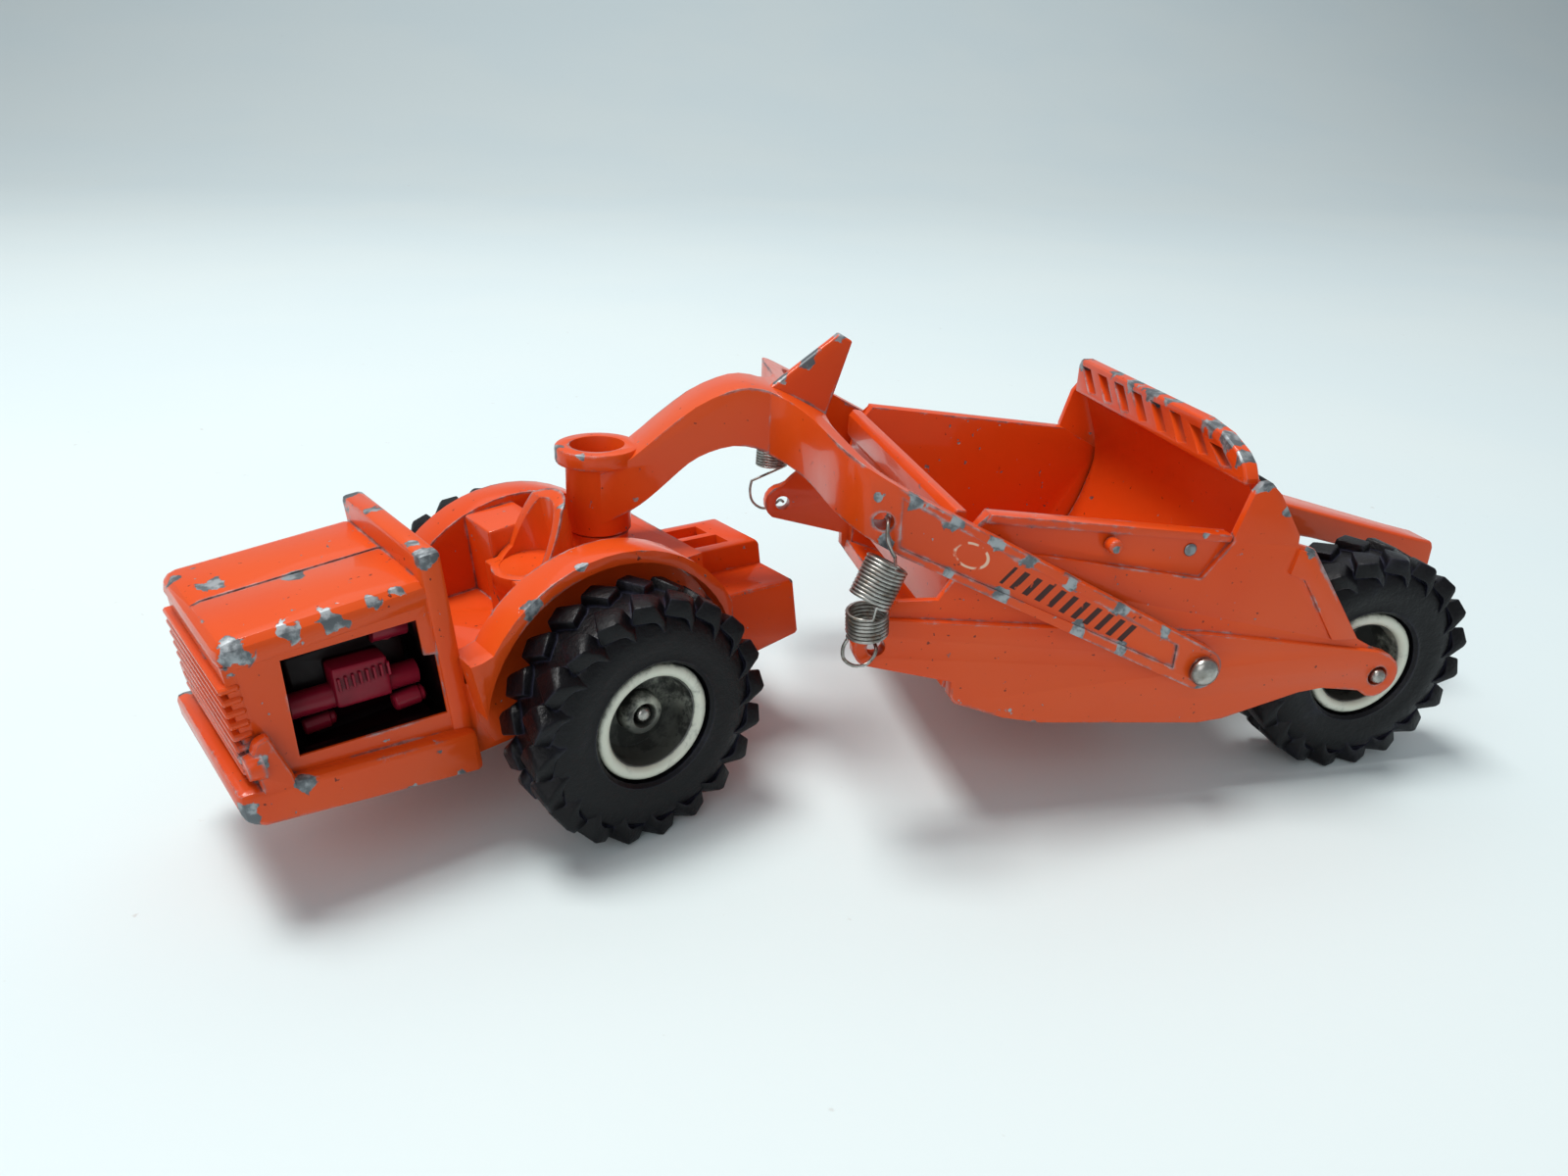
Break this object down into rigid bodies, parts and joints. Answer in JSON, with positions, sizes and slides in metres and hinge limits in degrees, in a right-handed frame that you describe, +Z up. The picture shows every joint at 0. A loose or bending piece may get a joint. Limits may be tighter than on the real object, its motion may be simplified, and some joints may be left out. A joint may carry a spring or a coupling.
{
  "type": "toy bulldozer",
  "caption": "Die-cast toy earth mover: a two-wheeled tractor steers under a gooseneck yoke that carries a sprung, open scraper bowl on rubber-tyred wheels.",
  "frame": {"origin": "centre of the toy's footprint box, on the ground under the tyres", "axes": "+X from the tractor's nose to the push block at the tail, +Y the toy's right-hand side, +Z up"},
  "size_m": [0.1496, 0.0542, 0.0473],
  "materials": {
    "orange_enamel": "gloss orange stove enamel over zinc, worn to bare metal on the edges",
    "red_plastic": "dark red moulded plastic",
    "bright_steel": "bright steel, dulled by handling",
    "spring_steel": "dull spring wire",
    "cream_enamel": "satin cream enamel over zinc",
    "black_rubber": "black rubber, slightly shiny"
  },
  "bodies": {
    "yoke": {"gooseneck": "orange_enamel", "pivot_pin_left": "bright_steel", "pivot_pin_right": "bright_steel", "bowl_spring_left": "spring_steel", "bowl_spring_right": "spring_steel"},
    "tractor": {"tractor_casting": "orange_enamel", "engine_block": "red_plastic", "tractor_baseplate": "orange_enamel", "baseplate_rivet_front": "bright_steel", "baseplate_rivet_rear": "bright_steel", "kingpin_post": "orange_enamel", "front_axle": "bright_steel"},
    "bowl": {"bowl_casting": "orange_enamel", "tailgate": "orange_enamel", "apron": "orange_enamel", "push_frame": "orange_enamel", "apron_peg_left": "orange_enamel", "apron_peg_right": "orange_enamel", "wall_rivet_left": "bright_steel", "wall_rivet_right": "bright_steel", "rear_axle": "bright_steel"},
    "front_wheel_left": {"front_tyre_left": "black_rubber", "front_hub_left": "cream_enamel"},
    "front_wheel_right": {"front_tyre_right": "black_rubber", "front_hub_right": "cream_enamel"},
    "rear_wheel_left": {"rear_tyre_left": "black_rubber", "rear_hub_left": "cream_enamel"},
    "rear_wheel_right": {"rear_tyre_right": "black_rubber", "rear_hub_right": "cream_enamel"}
  },
  "joints": [
    {"name": "steering", "type": "hinge", "parent": "yoke", "child": "tractor", "pos_m": [-0.03261, 0.00103, 0.02722], "axis": [0, 0, 1], "range_deg": [-110, 59]},
    {"name": "bowl_tilt", "type": "hinge", "parent": "yoke", "child": "bowl", "pos_m": [0.02756, 0.00103, 0.01697], "axis": [0, 1, 0], "range_deg": [-12, 0], "stiffness_Nm_per_rad": 0.1, "springref_deg": 34.38, "deforming": ["bowl_spring_left", "bowl_spring_right"]},
    {"name": "front_wheel_left_spin", "type": "hinge", "parent": "tractor", "child": "front_wheel_left", "pos_m": [-0.03738, -0.00126, 0.01316], "axis": [-0.4321, 0.9018, 0], "continuous": true},
    {"name": "front_wheel_right_spin", "type": "hinge", "parent": "tractor", "child": "front_wheel_right", "pos_m": [-0.03738, -0.00126, 0.01316], "axis": [-0.4321, 0.9018, 0], "continuous": true},
    {"name": "rear_wheel_left_spin", "type": "hinge", "parent": "bowl", "child": "rear_wheel_left", "pos_m": [0.05151, 0.00103, 0.01316], "axis": [0, 1, 0], "continuous": true},
    {"name": "rear_wheel_right_spin", "type": "hinge", "parent": "bowl", "child": "rear_wheel_right", "pos_m": [0.05151, 0.00103, 0.01316], "axis": [0, 1, 0], "continuous": true}
  ]
}
